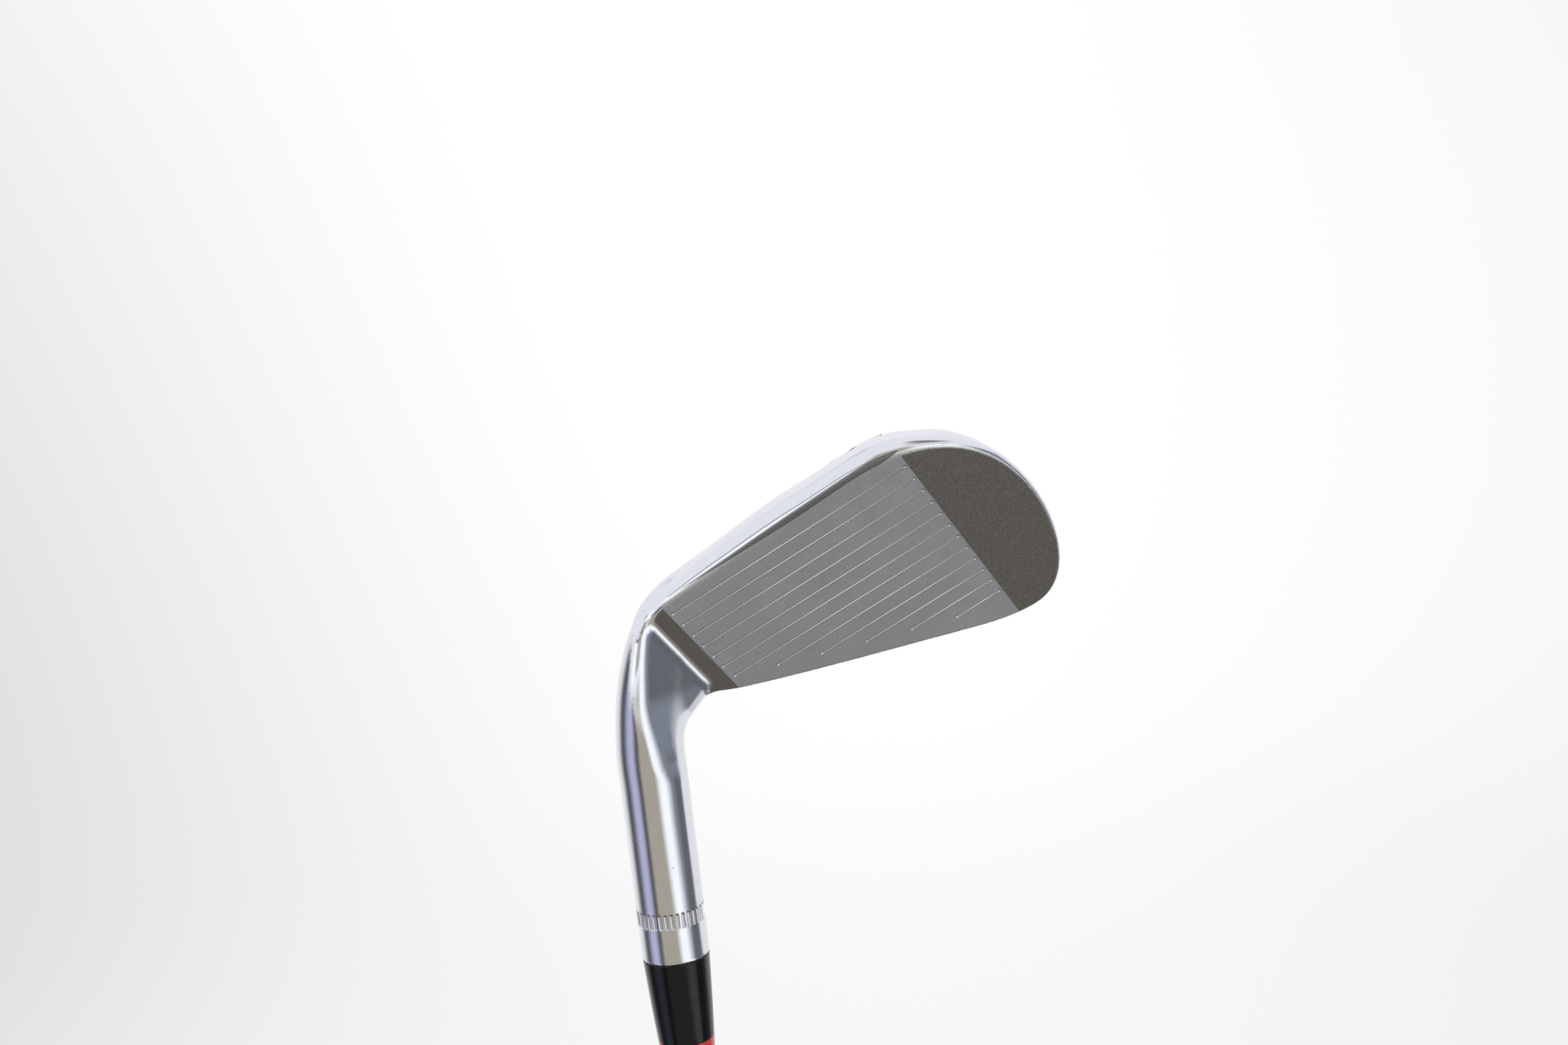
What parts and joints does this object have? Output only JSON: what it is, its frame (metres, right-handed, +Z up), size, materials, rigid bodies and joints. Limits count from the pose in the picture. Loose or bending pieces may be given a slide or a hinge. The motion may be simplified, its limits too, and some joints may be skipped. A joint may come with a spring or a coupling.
{
  "type": "iron golf club",
  "caption": "Right-handed forged iron: scored steel blade head with hosel, trimmed ferrule, stepped steel shaft and rubber grip with a vented cap.",
  "frame": {"origin": "centre of the butt end of the grip, on the shaft axis, at the mouth of the vent hole", "axes": "+Z up the shaft towards the head, +X towards the toe side, the face looks to -Y"},
  "size_m": [0.0964, 0.043, 0.9652],
  "materials": {
    "head_chrome": "mirror polished, with a blasted hitting area",
    "red_enamel": "gloss enamel",
    "epoxy": "cured glue",
    "ferrule_black": "polished",
    "ferrule_red": "polished",
    "shaft_chrome": "plated steel",
    "weight_brass": "turned",
    "label": "laminated label",
    "tape": "crepe tape",
    "grip_rubber": "textured",
    "cap_rubber": "smooth",
    "mark_paint": "paint"
  },
  "bodies": {
    "root": {"head": "head_chrome", "sole_number_fill": "red_enamel", "hosel_epoxy": "epoxy", "ferrule_nose": "ferrule_black", "ferrule_ring": "ferrule_red", "ferrule_tail": "ferrule_black", "shaft": "shaft_chrome", "tip_weight": "weight_brass", "shaft_band": "label", "grip_tape": "tape", "grip_sleeve": "grip_rubber", "grip_cap": "cap_rubber", "grip_marks": "mark_paint"}
  },
  "joints": []
}
